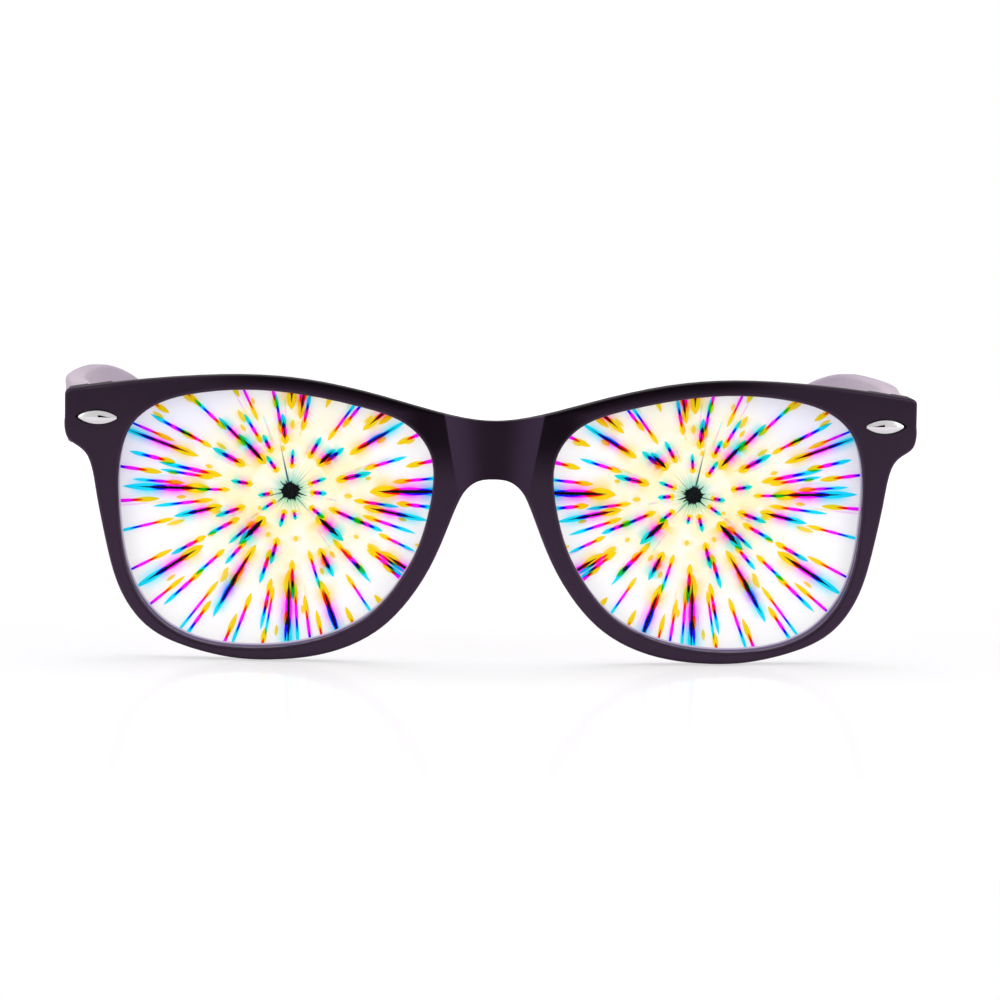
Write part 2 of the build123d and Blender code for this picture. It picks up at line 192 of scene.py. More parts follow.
def curveThrough(tree, value, heights):
    # A curve from 0 to 1 through heights at even steps, as a node
    node = addNode(tree, "ShaderNodeFloatCurve", {"Value": value})
    curve = node.mapping.curves[0]
    marks = np.linspace(0, 1, len(heights))
    curve.points[0].location = (0, heights[0])
    curve.points[1].location = (1, heights[-1])
    for mark, height in zip(marks[1:-1], heights[1:-1]):
        curve.points.new(mark, height)
    node.mapping.update()
    return node.outputs[0]


def vertexPlaces(name):
    mesh = parts[name].data
    points = np.empty(3 * len(mesh.vertices))
    mesh.vertices.foreach_get("co", points)
    return points.reshape(-1, 3)


def dress(material, *names):
    for name in names:
        for slot in parts[name].material_slots:
            slot.material = material


floatSocket = "NodeSocketFloat"
colourSocket = "NodeSocketColor"
vectorSocket = "NodeSocketVector"

# Moulded plastic: slow tone drift, fine grain in the relief, a few dust specks
plasticDetail = {
    "driftScale": 55,
    "driftDetail": 4.0,
    "grainScale": 2600,
    "grainDetail": 2.0,
    "grainDepth": 0.00002,
    "roughDrift": 0.18,
    "speckScale": 210,
    "speckRadius": 0.034,
    "speckShare": 0.12,
    "speckColour": (0.45, 0.40, 0.46, 1),
}


def makePlasticGroup():
    detail = plasticDetail
    tree, given, result = newGroup(
        "mouldedPlastic",
        [("Colour", colourSocket, (0, 0, 0, 1)), ("Drift", floatSocket, 0.0),
         ("Roughness", floatSocket, 0.0), ("Grain", floatSocket, 0.0), ("Dust", floatSocket, 0.0)],
        [("Colour", colourSocket), ("Roughness", floatSocket), ("Normal", vectorSocket)],
    )
    point = objectPoint(tree)
    drift = noise(tree, point, detail["driftScale"], detail["driftDetail"])
    grain = noise(tree, point, detail["grainScale"], detail["grainDetail"])
    cells = addNode(tree, "ShaderNodeTexVoronoi", {"Vector": point, "Scale": detail["speckScale"]})
    chance = addNode(tree, "ShaderNodeSeparateColor", {"Color": cells.outputs["Color"]}).outputs[0]
    rare = calc(tree, "LESS_THAN", chance, detail["speckShare"])
    near = remap(tree, cells.outputs["Distance"], detail["speckRadius"], 0.0)
    speck = calc(tree, "MULTIPLY", calc(tree, "MULTIPLY", near, rare), given["Dust"])
    # Tone: the colour times one plus or minus the drift
    swing = calc(tree, "SUBTRACT", drift, 0.5)
    gain = calc(tree, "MULTIPLY_ADD", swing, given["Drift"], 1.0)
    scaled = addNode(tree, "ShaderNodeVectorMath", {"Scale": gain}, operation="SCALE")
    tree.links.new(given["Colour"], scaled.inputs[0])
    colour = mixColours(tree, speck, scaled.outputs[0], detail["speckColour"])
    tree.links.new(colour, result["Colour"])
    worn = calc(tree, "MULTIPLY_ADD", swing, detail["roughDrift"], given["Roughness"])
    tree.links.new(worn, result["Roughness"])
    bump = addNode(tree, "ShaderNodeBump", {
        "Strength": given["Grain"], "Distance": detail["grainDepth"],
        "Height": calc(tree, "ADD", grain, speck)})
    tree.links.new(bump.outputs["Normal"], result["Normal"])
    return tree


plasticGroup = makePlasticGroup()


def finishPlastic(tree, shader, colour, look):
    detail = placeGroup(tree, plasticGroup, {
        "Colour": colour, "Drift": look["drift"], "Roughness": look["roughness"],
        "Grain": look["grain"], "Dust": look["dust"]})
    for title in ("Colour", "Roughness", "Normal"):
        target = "Base Color" if title == "Colour" else title
        tree.links.new(detail[title], shader.inputs[target])


# Front: dark violet, with painted shade: a little deeper towards the top, deeper in a band under
# the brow's top edge and beside the bridge.
# The scoop of the bridge has a painted reflection, paler next to its two creases, and painted shade
# deep in the middle. Lengths are in metres
frontLook = {
    "colour": (0.0275, 0.0155, 0.0295, 1),
    "paintedShadeColour": (0.0012, 0.0, 0.0, 1),
    "glossTint": (0.9, 0.60, 1.0, 1),
    "browFrom": 0.0345,  # heights between which painted shade deepens the whole front a little
    "browTo": 0.0475,
    "browDepth": 0.30,
    "bandFrom": 0.0024,  # distances below the top edge between which the painted shade band deepens
    "bandTo": 0.0007,
    "bandSteps": 48,
    "sideFrom": 0.057,  # distances from the middle between which the painted shade band gains strength
    "sideTo": 0.038,
    "sideLeast": 0.15,
    "innerFrom": 0.018,  # the painted shade beside the bridge: distances, then heights
    "innerTo": 0.012,
    "innerLow": 0.0300,
    "innerHigh": 0.0380,
    "creaseBase": 0.00047,
    "creaseSlope": 0.19,
    "creaseSoft": 0.0001,
    "scoopReflectionColour": (0.038, 0.0216, 0.0458, 1),
    "scoopShadeColour": (0.0137, 0.0070, 0.0134, 1),
    "scoopFrom": 0.85,  # shares of the way to the crease
    "scoopTo": 0.15,
    "scoopReach": (0.003, 0.0025),  # how far back from the front's face the scoop's painted reflection and shade end
    "roughness": 0.33,
    "drift": 0.2,
    "grain": 0.2,
    "dust": 1.0,
}


def browHeight(tree, across):
    # Height of the front's top edge against the distance from its middle: the highest vertex in
    # each of a row of even strips, joined by straight lines and read at even steps
    points = vertexPlaces("frame_front")
    places, heights = np.abs(points[:, 0]), points[:, 2]
    widest, highest = places.max(), heights.max()
    steps = frontLook["bandSteps"]
    strips = np.minimum((places / widest * steps).astype(int), steps - 1)
    order = np.lexsort((heights, strips))
    top = order[np.append(np.diff(strips[order]) > 0, True)]
    marks = np.linspace(0, 1, steps + 1)
    shape = np.interp(marks, places[top] / widest, heights[top] / highest)
    edge = curveThrough(tree, calc(tree, "DIVIDE", across, widest), shape)
    return calc(tree, "MULTIPLY", edge, highest)


def makeFrontPlastic():
    look = frontLook
    material, tree, shader = newMaterial("frontPlastic", Specular_Tint=look["glossTint"])
    axes = objectAxes(tree)
    across, height = calc(tree, "ABSOLUTE", axes[0]), axes[2]
    # Painted shade: a little towards the top, more in a band under the top edge and beside the
    # bridge
    browShade = remap(tree, height, look["browFrom"], look["browTo"], 0.0, look["browDepth"])
    below = calc(tree, "SUBTRACT", browHeight(tree, across), height)
    sideward = remap(tree, across, look["sideFrom"], look["sideTo"], look["sideLeast"], 1.0)
    paintedBand = calc(tree, "MULTIPLY", remap(tree, below, look["bandFrom"], look["bandTo"]), sideward)
    inner = calc(tree, "MULTIPLY", remap(tree, across, look["innerFrom"], look["innerTo"]),
                 remap(tree, height, look["innerLow"], look["innerHigh"]))
    paintedShade = calc(tree, "MAXIMUM", browShade, calc(tree, "MAXIMUM", paintedBand, inner))
    colour = mixColours(tree, paintedShade, look["colour"], look["paintedShadeColour"])
    # Crease: its distance from the middle grows in a straight line with the height
    crease = calc(tree, "MULTIPLY_ADD", height, look["creaseSlope"], look["creaseBase"])
    inScoop = remap(tree, calc(tree, "SUBTRACT", crease, across),
                    -look["creaseSoft"], look["creaseSoft"])
    behind = calc(tree, "SUBTRACT", axes[1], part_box("frame_front")[0][1])
    inFront = remap(tree, behind, *look["scoopReach"])
    # Painted reflection in the scoop, pale next to the creases, fading into painted shade in its
    # middle
    scoopSheen = remap(tree, calc(tree, "DIVIDE", across, crease), look["scoopTo"], look["scoopFrom"])
    scoopReflectionColour = mixColours(tree, scoopSheen, look["scoopShadeColour"], look["scoopReflectionColour"])
    colour = mixColours(tree, calc(tree, "MULTIPLY", inScoop, inFront), colour, scoopReflectionColour)
    finishPlastic(tree, shader, colour, look)
    return material


# Temples: pale with a painted reflection of the white backdrop, and darker towards the ear end
templeLook = {
    "colour": (0.56, 0.46, 0.55, 1),
    "paintedShadeColour": (0.40, 0.32, 0.42, 1),
    "fadeFrom": 0.025,  # distances behind the hinge
    "fadeTo": 0.10,
    "roughness": 0.38,
    "drift": 0.2,
    "grain": 0.2,
    "dust": 0.0,
}


def makeTemplePlastic():
    look = templeLook
    material, tree, shader = newMaterial("templePlastic")
    # Painted reflection: pale near the hinge, darker towards the ear end
    behind = calc(tree, "SUBTRACT", objectAxes(tree)[1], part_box("left_temple")[0][1])
    far = remap(tree, behind, look["fadeFrom"], look["fadeTo"])
    colour = mixColours(tree, far, look["colour"], look["paintedShadeColour"])
    finishPlastic(tree, shader, colour, look)
    return material


dress(makeFrontPlastic(), "frame_front")
dress(makeTemplePlastic(), "left_temple", "right_temple")
print("plastics made")

# Metal of hinges and screws: streaks along the rolling direction, with a faint relief
metalDetail = {
    "streakScale": (900, 900, 90),
    "streakDetail": 6.0,
    "toneDrift": 0.25,
    "roughSpread": 0.2,
    "reliefStrength": 0.3,
    "reliefDepth": 0.00001,
}
metals = {
    "hingeMetal": {"colour": (0.62, 0.62, 0.64, 1), "roughness": 0.32},
    "screwMetal": {"colour": (0.55, 0.55, 0.57, 1), "roughness": 0.24},
}


def makeMetal(name):
    detail, colour, roughness = metalDetail, metals[name]["colour"], metals[name]["roughness"]
    material, tree, shader = newMaterial(name, Metallic=1.0)
    stretch = addNode(tree, "ShaderNodeMapping", {
        "Vector": objectPoint(tree), "Scale": detail["streakScale"]})
    streak = noise(tree, stretch.outputs[0], 1.0, detail["streakDetail"])
    dull = tuple(channel * (1 - detail["toneDrift"]) for channel in colour[:3]) + (1,)
    tree.links.new(mixColours(tree, streak, dull, colour), shader.inputs["Base Color"])
    smoothest = roughness - detail["roughSpread"] / 2
    rough = calc(tree, "MULTIPLY_ADD", streak, detail["roughSpread"], smoothest)
    tree.links.new(rough, shader.inputs["Roughness"])
    bump = addNode(tree, "ShaderNodeBump", {
        "Strength": detail["reliefStrength"], "Distance": detail["reliefDepth"], "Height": streak})
    tree.links.new(bump.outputs["Normal"], shader.inputs["Normal"])
    return material


hingeMetal, screwMetal = makeMetal("hingeMetal"), makeMetal("screwMetal")
for side in sides:
    dress(hingeMetal, f"{side}_front_hinge_leaf", f"{side}_temple_hinge_leaf")
    dress(screwMetal, f"{side}_hinge_screw", f"{side}_front_leaf_screw_upper",
          f"{side}_front_leaf_screw_lower", f"{side}_temple_leaf_screw_near",
          f"{side}_temple_leaf_screw_far")
print("metals made")

# Inlay: an eye-shaped stud in a dark slot, with a ridge along its length, bright, with a painted
# dark reflection in a wedge and painted shade on its lower half.
# Lengths are in metres; what lies along or across is a share of the half length or half width
inlay = {
    "length": 0.00725,
    "width": 0.00275,
    "depth": 0.0008,
    "rim": 0.00003,
    "ridge": 0.00027,
    "ridgePower": 0.8,
    "turn": 12.2,  # degrees, of the front's face where it sits
    "steps": 64,
    "rows": 14,
    "merge": 1e-7,
    "sliver": 1e-8,
    "metallic": 0.35,
    "colour": (0.95, 0.93, 0.94, 1),
    "paintedShadeAndScratchColour": (0.66, 0.62, 0.66, 1),
    "darkReflectionColour": (0.006, 0.005, 0.006, 1),
    "slotAlong": (0.92, 0.93),
    "slotAcross": (0.80, 0.84),
    "darkReflectionWidth": 0.30,
    "darkReflectionFrom": 0.03,
    "darkReflectionTo": 0.84,
    "darkReflectionSoft": (0.02, 0.06),  # at the ridge, and at the outer side
    "shadeTo": -0.6,
    "shadeShare": 0.5,
    "scratchScale": 3000.0,
    "scratchDetail": 3.0,
    "scratchShare": 0.12,
    "scratchRoughness": (0.12, 0.22),
}


def inlaySurface(side):
    # Points (x, v * halfWidth(x)) round the outline, where the half width is that of two equal
    # arcs and v runs 0, 1 under the stud, then 1 to 0 over it; over it the height rises as
    # (1 - v) ^ 0.8 towards the ridge, which falls to both ends as the root of 1 - (x / half) ^ 2
    look = inlay
    half, bulge = look["length"] / 2, look["width"] / 2
    radius = (half ** 2 + bulge ** 2) / (2 * bulge)
    angles = np.linspace(0, 2 * np.pi, look["steps"], endpoint=False)
    x = half * np.cos(angles)
    width = np.sign(np.sin(angles)) * (np.sqrt(radius ** 2 - x ** 2) - radius + bulge)
    over = np.linspace(1, 0, look["rows"])
    shrink = np.concatenate([[0, 1], over])
    level = np.concatenate([[-look["depth"]] * 2, np.full(look["rows"], look["rim"])])
    rise = np.concatenate([[0, 0], (1 - over) ** look["ridgePower"]]) * look["ridge"]
    along = np.broadcast_to(x, (len(shrink), look["steps"]))
    across = shrink[:, None] * width
    height = level[:, None] + rise[:, None] * (1 - (x / half) ** 2) ** 0.5
    # The stud's own plane lies on the front's curved face, so its box gives its place
    turn = math.radians(look["turn"])
    low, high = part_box(f"{side}_inlay")
    outer = sides[side] * (high[0] if side == "right" else low[0])
    placeX = outer - half * math.cos(turn)
    placeY = high[1] - half * math.sin(turn) - look["depth"] * math.cos(turn)
    points = np.stack([
        sides[side] * (placeX + along * math.cos(turn) + height * math.sin(turn)),
        placeY + along * math.sin(turn) - height * math.cos(turn),
        (low[2] + high[2]) / 2 + across,
    ], axis=2).reshape(-1, 3)
    rows, steps = along.shape
    here = np.arange((rows - 1) * steps).reshape(rows - 1, steps)
    after = np.roll(here, -1, axis=1)
    faces = np.stack([here, here + steps, after + steps, after], axis=2).reshape(-1, 4)
    shares = {
        "along": (-along / half).ravel(),
        "across": (shrink[:, None] * np.sign(width)).ravel(),
    }
    return points, faces, shares


def makeInlayMetal():
    look = inlay
    material, tree, shader = newMaterial("inlayMetal", Metallic=look["metallic"])
    along, across = (addNode(tree, "ShaderNodeAttribute", attribute_name=title).outputs["Fac"]
                     for title in ("along", "across"))
    # Painted dark reflection: a wedge on the upper facet, wide near the middle, that runs out to a
    # point
    inner, outer = look["darkReflectionSoft"]
    wide = remap(tree, along, look["darkReflectionTo"], look["darkReflectionFrom"], 0.0, look["darkReflectionWidth"])
    above = remap(tree, across, -inner, inner)
    below = remap(tree, calc(tree, "SUBTRACT", wide, across), 0.0, outer)
    begun = calc(tree, "GREATER_THAN", along, look["darkReflectionFrom"])
    darkReflection = calc(tree, "MULTIPLY", begun, calc(tree, "MULTIPLY", above, below))
    ends = remap(tree, calc(tree, "ABSOLUTE", along), *look["slotAlong"])
    edges = remap(tree, calc(tree, "ABSOLUTE", across), *look["slotAcross"])
    dark = calc(tree, "MAXIMUM", darkReflection, calc(tree, "MAXIMUM", ends, edges))
    # Painted shade: the lower half of the stud darkens towards its lower edge
    shade = remap(tree, across, 0.0, look["shadeTo"], 0.0, look["shadeShare"])
    scratches = noise(tree, objectPoint(tree), look["scratchScale"], look["scratchDetail"])
    # Scratches dull it towards the same colour as the painted shade
    dulled = calc(tree, "MULTIPLY", scratches, look["scratchShare"])
    bright = mixColours(tree, dulled, look["colour"], look["paintedShadeAndScratchColour"])
    toned = mixColours(tree, shade, bright, look["paintedShadeAndScratchColour"])
    tree.links.new(mixColours(tree, dark, toned, look["darkReflectionColour"]), shader.inputs["Base Color"])
    smooth, rough = look["scratchRoughness"]
    worn = calc(tree, "MULTIPLY_ADD", scratches, rough - smooth, smooth)
    tree.links.new(worn, shader.inputs["Roughness"])
    return material


inlayMetal = makeInlayMetal()


def makeInlay(side):
    points, faces, shares = inlaySurface(side)
    mesh = bpy.data.meshes.new(f"{side}InlayStud")
    mesh.from_pydata(points.tolist(), [], faces.tolist())
    for title, values in shares.items():
        layer = mesh.attributes.new(title, "FLOAT", "POINT")
        layer.data.foreach_set("value", values.astype(np.float32))
    # Both ends of the sweep are lines whose two sides meet: they are merged, then turned outward
    shape = bmesh.new()
    shape.from_mesh(mesh)
    bmesh.ops.remove_doubles(shape, verts=shape.verts, dist=inlay["merge"])
    bmesh.ops.dissolve_degenerate(shape, edges=shape.edges, dist=inlay["sliver"])
    bmesh.ops.recalc_face_normals(shape, faces=shape.faces)
    shape.to_mesh(mesh)
    shape.free()
    stud = bpy.data.objects.new(f"{side}InlayStud", mesh)
    bpy.context.collection.objects.link(stud)
    mesh.materials.append(inlayMetal)
    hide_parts(f"{side}_inlay")
    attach(stud, "front")


for side in sides:
    makeInlay(side)
print("inlays made")

# Grating film: each order of light is a dash along the radius, and its spectrum is three colour
# filters that overlap: yellow nearest the centre, then magenta, then cyan; where two overlap the
# dash is red or blue, and where all three do it is black. Lengths are in millimetres
starburst = {
    "centre": (34.45, 28.8),
    "millimetres": 1000,
    "edgePower": 0.7,
    "softEdge": 0.09,
    "haloShare": 1.7,
    "haloMargin": 0.25,
    "haloTrim": 0.04,
    "lengths": (0.7, 1.3),  # least and most share of a ring's length and width that a dash has
    "widths": (0.8, 1.2),
    "thread": (0.05, 0.95),  # the black core's ends, as shares of the dash
    "sheet": (1.0, 0.99, 1.0, 1),
    "coolSheet": (0.88, 0.87, 0.98, 1),
    "coolFrom": 9.0,
    "coolTo": 24.0,
    "cornerLean": 0.7,
    "sheetAlpha": 0.96,
    "diffuseShare": 0.50,
    "paintedGlowShare": 0.60,
    "roughness": 0.4,
    "gloss": 0.03,
}
# Filters: the colour channel that each takes away, its share of the dash, its width and its tint
filters = {
    "Blue": {"from": 0.0, "to": 0.36, "width": 1.30, "tint": (0.95, 0.67, 0.0, 1)},
    "Green": {"from": 0.27, "to": 0.75, "width": 0.95, "tint": (1.0, 0.0, 1.0, 1)},
    "Red": {"from": 0.63, "to": 1.0, "width": 1.0, "tint": (0.0, 0.75, 1.0, 1)},
}
# Rings of orders: how many, turned by what share of a cell, with what random numbers, where they
# start and how far that scatters, log length, half width, halo, black core, how far the filters
# overlap, scatter round the ring, share that shows, strength, and that of magenta and cyan
ringTitles = ("Count", "Offset", "Seed", "Start", "Scatter", "Length", "Width", "Halo", "Core",
              "Overlap", "Jitter", "Share", "Strength", "Tail")
rings = [
    (4, 0.5, 1, 14.2, 0.4, 0.58, 0.74, 1.0, 0.40, 0.08, 0.02, 1.0, 1.0, 1.0),
    (4, 0.03, 2, 6.3, 0.5, 0.54, 0.76, 1.0, 0.55, 0.09, 0.10, 1.0, 1.0, 1.0),
    (7, 0.25, 3, 11.0, 2.5, 0.50, 0.55, 0.80, 0.44, 0.09, 0.40, 0.95, 1.0, 1.0),
    (9, 0.6, 4, 15.5, 4.5, 0.46, 0.55, 0.80, 0.46, 0.09, 0.50, 0.9, 1.0, 1.0),
    (11, 0.1, 5, 3.0, 1.6, 0.54, 0.40, 0.40, 0.25, 0.08, 0.60, 0.9, 1.0, 1.0),
    (13, 0.7, 6, 6.4, 2.6, 0.50, 0.48, 0.55, 0.30, 0.08, 0.60, 0.9, 1.0, 1.0),
    (17, 0.2, 7, 9.4, 3.0, 0.48, 0.40, 0.35, 0.14, 0.08, 0.60, 0.9, 1.0, 1.0),
    (21, 0.45, 8, 13.0, 3.4, 0.44, 0.38, 0.25, 0.0, 0.07, 0.60, 0.9, 1.0, 1.0),
    (25, 0.85, 9, 16.5, 4.0, 0.40, 0.38, 0.20, 0.0, 0.07, 0.60, 0.9, 1.0, 1.0),
    (29, 0.35, 10, 20.0, 5.0, 0.34, 0.38, 0.15, 0.0, 0.07, 0.60, 0.85, 1.0, 1.0),
    (23, 0.15, 11, 5.5, 14.0, 0.38, 0.34, 0.45, 0.0, 0.0, 0.70, 0.85, 0.95, 0.0),
    (31, 0.4, 12, 12.0, 14.0, 0.30, 0.28, 0.20, 0.0, 0.0, 0.70, 0.8, 0.95, 0.0),
    (27, 0.55, 13, 5.0, 16.0, 0.42, 0.20, 0.0, 0.0, 0.0, 0.80, 0.7, 0.40, 0.9),
]


def makeDashGroup():
    # One filter's part of a dash: as wide as a half sine along it to the power of 0.7, with a soft
    # edge, in a halo that falls off as exp(-(distance / reach) ^ 2)
    look = starburst
    tree, given, result = newGroup(
        "spectrumDash",
        [(title, floatSocket, 0.0) for title in
         ("Along", "Aside", "From", "To", "Overlap", "Width", "Halo")],
        [("Mask", floatSocket)],
    )

    def bellOf(margin):
        span = calc(tree, "SUBTRACT", given["To"], given["From"])
        length = calc(tree, "MULTIPLY_ADD", margin, 2.0, span)
        way = calc(tree, "SUBTRACT", given["Along"], calc(tree, "SUBTRACT", given["From"], margin))
        phase = calc(tree, "DIVIDE", way, length, clamp=True)
        bell = calc(tree, "SINE", calc(tree, "MULTIPLY", phase, math.pi))
        return calc(tree, "MAXIMUM", bell, 0.0)

    shape = calc(tree, "POWER", bellOf(given["Overlap"]), look["edgePower"])
    edge = calc(tree, "MULTIPLY", shape, given["Width"])
    inside = calc(tree, "SUBTRACT", edge, given["Aside"])
    core = calc(tree, "DIVIDE", inside, look["softEdge"], clamp=True)
    reach = calc(tree, "MULTIPLY_ADD", given["Width"], look["haloShare"], look["haloMargin"])
    steep = calc(tree, "POWER", calc(tree, "DIVIDE", given["Aside"], reach), 2.0)
    fall = calc(tree, "EXPONENT", calc(tree, "MULTIPLY", steep, -1.0))
    strength = calc(tree, "MULTIPLY", fall, given["Halo"])
    halo = calc(tree, "MULTIPLY", strength, bellOf(look["haloTrim"]))
    tree.links.new(calc(tree, "MAXIMUM", core, halo), result["Mask"])
    return tree


def makeRingGroup(dashGroup):
    # Orders on one ring: the turn is cut into cells, and each holds one order at a random place
    look = starburst
    tree, given, result = newGroup(
        "ringOfOrders",
        [(title, floatSocket, 0.0) for title in ("Radius", "Turn") + ringTitles],
        [(title, floatSocket) for title in filters],
    )
    cell = calc(tree, "MULTIPLY_ADD", given["Turn"], given["Count"], given["Offset"])
    index = calc(tree, "FLOORED_MODULO", calc(tree, "FLOOR", cell), given["Count"])
    key = addNode(tree, "ShaderNodeCombineXYZ", {"X": index, "Y": given["Seed"]})
    draw = addNode(tree, "ShaderNodeTexWhiteNoise", {"Vector": key.outputs[0]},
                   noise_dimensions="2D").outputs
    lots = addNode(tree, "ShaderNodeSeparateColor", {"Color": draw["Color"]}).outputs
    shift = calc(tree, "SUBTRACT", lots[0], 0.5)
    middle = calc(tree, "MULTIPLY_ADD", shift, given["Jitter"], 0.5)
    offside = calc(tree, "SUBTRACT", calc(tree, "FRACT", cell), middle)
    arc = calc(tree, "DIVIDE", calc(tree, "MULTIPLY", offside, math.tau), given["Count"])
    aside = calc(tree, "ABSOLUTE", calc(tree, "MULTIPLY", arc, given["Radius"]))
    start = calc(tree, "MULTIPLY_ADD", lots[1], given["Scatter"], given["Start"])
    shortest, longest = look["lengths"]
    stretch = calc(tree, "MULTIPLY_ADD", lots[2], longest - shortest, shortest)
    length = calc(tree, "MULTIPLY", given["Length"], stretch)
    run = calc(tree, "LOGARITHM", calc(tree, "DIVIDE", given["Radius"], start), math.e)
    along = calc(tree, "DIVIDE", run, length)
    shown = calc(tree, "LESS_THAN", draw["Value"], given["Share"])
    strength = calc(tree, "MULTIPLY", shown, given["Strength"])
    thinnest, widest = look["widths"]
    swell = calc(tree, "MULTIPLY_ADD", draw["Value"], thinnest - widest, widest)
    width = calc(tree, "MULTIPLY", given["Width"], swell)
    place = {"Along": along, "Aside": aside}
    thread = placeGroup(tree, dashGroup, {
        **place, "From": look["thread"][0], "To": look["thread"][1],
        "Width": calc(tree, "MULTIPLY", given["Core"], width)})["Mask"]
    for title, part in filters.items():
        mask = placeGroup(tree, dashGroup, {
            **place, "From": part["from"], "To": part["to"], "Overlap": given["Overlap"],
            "Width": calc(tree, "MULTIPLY", width, part["width"]), "Halo": given["Halo"]})["Mask"]
        both = calc(tree, "MULTIPLY", calc(tree, "MAXIMUM", mask, thread), strength)
        if title != "Blue":
            both = calc(tree, "MULTIPLY", both, given["Tail"])
        tree.links.new(both, result[title])
    return tree


ringGroup = makeRingGroup(makeDashGroup())

# Star: dark, in the centre, with a blue-green streaky halo and a few thin rays
star = {
    "core": 1.18,
    "softEdge": 0.16,
    "colour": (0.0, 0.0012, 0.0018, 1),
    "noiseDetail": 2.0,
    "wobble": 0.7,
    "wobbleScale": 1.8,
    "spikes": 2.3,
    "spikeScale": 5.0,
    "spikeFrom": 0.40,
    "spikeTo": 0.85,
    "spikePower": 1.4,
    "streakScale": 15.0,
    "streakFrom": 0.3,
    "streakTo": 0.7,
    "streakLeast": 0.75,
    "streakMost": 1.25,
    "haloReach": 4.4,
    "haloPower": 1.3,
    "haloColour": (0.30, 0.70, 0.66, 1),
    "rayColour": (0.02, 0.15, 0.19, 1),
}
rays = [  # turn, length, half width, depth
    (0.715, 12.5, 0.13, 1.0),
    (0.46, 8.5, 0.11, 0.8),
    (0.13, 9.0, 0.09, 0.6),
    (0.87, 8.0, 0.08, 0.5),
]
# Glow: pale yellow round the star, in soft patches
glow = {
    "inner": 9.0,
    "outer": 21.0,
    "patchScale": 0.16,
    "patchDetail": 2.0,
    "patchFrom": 0.28,
    "patchTo": 0.60,
    "least": 0.22,
    "most": 0.68,
    "colour": (1.0, 0.90, 0.42, 1),
}
# Painted rim light on the film: the rim as seen through the clear edge of the opening, a band of
# painted highlight and one of painted shade: how far it shows outward and down, and its tones
paintedRimLight = {
    "inset": 0.85,
    "shift": (0.22, -0.55),
    "steps": 40,
    "edgeShare": 0.6,
    "rimLightBand": (-0.05, 0.12),
    "rimLightColour": (0.60, 0.54, 0.70, 1),
    "rimShadeBand": (0.22, 0.42),
    "rimShadeColour": (0.17, 0.13, 0.24, 1),
}


def spectrumMasks(tree, radius, turn):
    masks = dict.fromkeys(filters, 0.0)
    for values in rings:
        settings = dict(zip(ringTitles, values))
        ring = placeGroup(tree, ringGroup, {"Radius": radius, "Turn": turn, **settings})
        for title in filters:
            masks[title] = calc(tree, "MAXIMUM", ring[title], masks[title])
    return masks


def addStar(tree, colour, plate, radius, turn):
    # A disc whose edge wobbles and runs out in random spikes, in a streaky halo, with rays
    direction = addNode(tree, "ShaderNodeVectorMath", operation="NORMALIZE")
    tree.links.new(plate, direction.inputs[0])
    wobble, spiky, streaky = (noise(tree, direction.outputs[0], star[scale], star["noiseDetail"])
                              for scale in ("wobbleScale", "spikeScale", "streakScale"))
    peaks = remap(tree, spiky, star["spikeFrom"], star["spikeTo"])
    spikes = calc(tree, "POWER", peaks, star["spikePower"])
    body = calc(tree, "MULTIPLY_ADD", wobble, star["wobble"], star["core"])
    rim = calc(tree, "MULTIPLY_ADD", spikes, star["spikes"], body)
    inside = calc(tree, "DIVIDE", calc(tree, "SUBTRACT", rim, radius), star["softEdge"], clamp=True)
    streaks = remap(tree, streaky, star["streakFrom"], star["streakTo"],
                    star["streakLeast"], star["streakMost"])
    reach = remap(tree, calc(tree, "MULTIPLY", radius, streaks), star["haloReach"], star["core"])
    halo = calc(tree, "POWER", reach, star["haloPower"])
    shaded = mixColours(tree, 1.0, colour, star["haloColour"], "MULTIPLY")
    colour = mixColours(tree, halo, colour, shaded)
    # Rays: lines whose width runs out along them
    for place, length, width, depth in rays:
        bend = calc(tree, "ABSOLUTE", calc(tree, "SUBTRACT", turn, place))
        aside = calc(tree, "MULTIPLY", bend, calc(tree, "MULTIPLY", radius, math.tau))
        taper = calc(tree, "MULTIPLY", remap(tree, radius, length, 0.0), width * 2)
        line = calc(tree, "DIVIDE", calc(tree, "SUBTRACT", taper, aside), width, clamp=True)
        colour = mixColours(tree, calc(tree, "MULTIPLY", line, depth), colour, star["rayColour"])
    return mixColours(tree, inside, colour, star["colour"])


def outlineDistance(tree, turn):
    # Film's edge: its distance from the centre against the turn, read at even steps
    points = starburst["millimetres"] * vertexPlaces("right_grating_film")
    across = points[:, 0] - starburst["centre"][0]
    upward = points[:, 2] - starburst["centre"][1]
    reach = np.hypot(across, upward)
    onEdge = reach > paintedRimLight["edgeShare"] * reach.max()
    places = np.arctan2(upward, across)[onEdge] / math.tau + 0.5
    marks = np.linspace(0, 1, paintedRimLight["steps"] + 1)
    shape = np.interp(marks, places, reach[onEdge], period=1)
    edge = curveThrough(tree, turn, shape / shape.max())
    return calc(tree, "MULTIPLY", edge, shape.max())


def polar(tree, across, upward):
    squares = calc(tree, "MULTIPLY", upward, upward)
    radius = calc(tree, "SQRT", calc(tree, "MULTIPLY_ADD", across, across, squares))
    angle = calc(tree, "ARCTAN2", upward, across)
    return radius, calc(tree, "MULTIPLY_ADD", angle, 1 / math.tau, 0.5)


def addPaintedRimLight(tree, colour, across, upward):
    # Painted on the film: a pale band of painted highlight and a dark band of painted shade, where
    # the rim would show through the clear edge
    right, up = paintedRimLight["shift"]
    radius, turn = polar(tree, calc(tree, "ADD", across, right), calc(tree, "ADD", upward, up))
    shown = calc(tree, "ADD", radius, paintedRimLight["inset"])
    past = calc(tree, "SUBTRACT", shown, outlineDistance(tree, turn))
    for paintedBand, tone in (("rimLightBand", "rimLightColour"), ("rimShadeBand", "rimShadeColour")):
        colour = mixColours(tree, remap(tree, past, *paintedRimLight[paintedBand]), colour, paintedRimLight[tone])
    return colour


